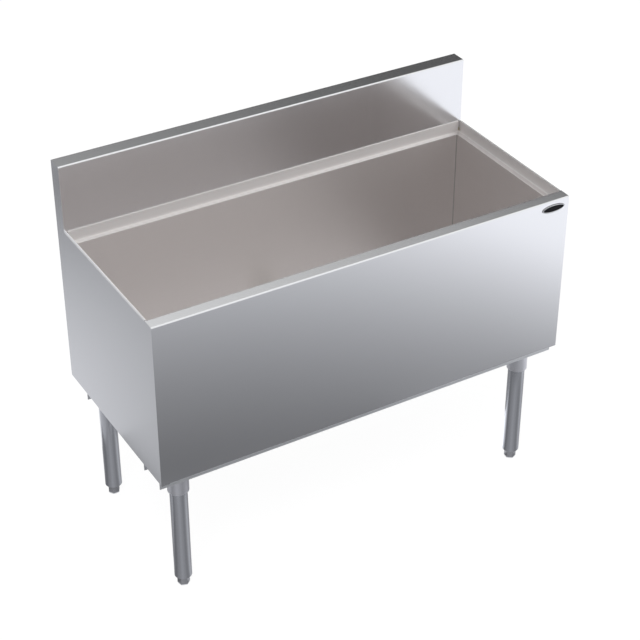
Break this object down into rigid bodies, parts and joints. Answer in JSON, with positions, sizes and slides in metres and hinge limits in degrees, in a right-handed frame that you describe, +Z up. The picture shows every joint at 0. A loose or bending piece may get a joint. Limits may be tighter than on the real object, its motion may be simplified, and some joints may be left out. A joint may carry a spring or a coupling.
{
  "type": "underbar ice bin",
  "caption": "Insulated stainless steel ice bin with a recessed ledge, a backsplash box, a drain and tubular legs with screw feet.",
  "frame": {"origin": "on the floor, under the middle of the body, at the soles of the feet when they are screwed in", "axes": "+X to the right as seen from the front, +Y to the back, +Z up"},
  "size_m": [1.0668, 0.4842, 0.937],
  "materials": {
    "satin_steel": "satin",
    "liner_steel": "satin",
    "socket_steel": "satin",
    "tube_steel": "satin",
    "foot_steel": "satin",
    "galvanised_pan": "matte",
    "plated_fasteners": "satin",
    "drain_metal": "satin",
    "strainer_steel": "satin",
    "gasket_rubber": "matte",
    "foam": "matte",
    "badge_black": "gloss"
  },
  "bodies": {
    "unit": {"front_panel": "satin_steel", "left_side_panel": "satin_steel", "right_side_panel": "satin_steel", "back_panel": "satin_steel", "backsplash": "satin_steel", "bin_liner": "liner_steel", "insulation": "foam", "base_pan": "galvanised_pan", "base_pan_screws": "plated_fasteners", "front_leg_channel": "satin_steel", "rear_leg_rail": "satin_steel", "channel_screws": "plated_fasteners", "leg_socket_fl": "socket_steel", "leg_socket_fr": "socket_steel", "leg_socket_rl": "socket_steel", "leg_socket_rr": "socket_steel", "socket_studs": "plated_fasteners", "socket_nuts": "plated_fasteners", "socket_set_screws": "plated_fasteners", "leg_tube_fl": "tube_steel", "leg_tube_fr": "tube_steel", "leg_tube_rl": "tube_steel", "leg_tube_rr": "tube_steel", "leg_insert_fl": "foot_steel", "leg_insert_fr": "foot_steel", "leg_insert_rl": "foot_steel", "leg_insert_rr": "foot_steel", "drain_body": "drain_metal", "drain_gasket": "gasket_rubber", "drain_locknut": "drain_metal", "drain_tailpiece": "drain_metal", "badge_plate": "badge_black"},
    "foot_fl": {"foot_fl": "foot_steel"},
    "foot_fr": {"foot_fr": "foot_steel"},
    "foot_rl": {"foot_rl": "foot_steel"},
    "foot_rr": {"foot_rr": "foot_steel"},
    "strainer": {"drain_strainer": "strainer_steel"}
  },
  "joints": [
    {"name": "foot_fl_screw", "type": "slide", "parent": "unit", "child": "foot_fl", "axis": [0, 0, -1], "range_m": [0, 0.025]},
    {"name": "foot_fr_screw", "type": "slide", "parent": "unit", "child": "foot_fr", "axis": [0, 0, -1], "range_m": [0, 0.025]},
    {"name": "foot_rl_screw", "type": "slide", "parent": "unit", "child": "foot_rl", "axis": [0, 0, -1], "range_m": [0, 0.025]},
    {"name": "foot_rr_screw", "type": "slide", "parent": "unit", "child": "foot_rr", "axis": [0, 0, -1], "range_m": [0, 0.025]},
    {"name": "strainer_lift", "type": "slide", "parent": "unit", "child": "strainer", "axis": [0, 0, 1], "range_m": [0, 0.3]}
  ]
}
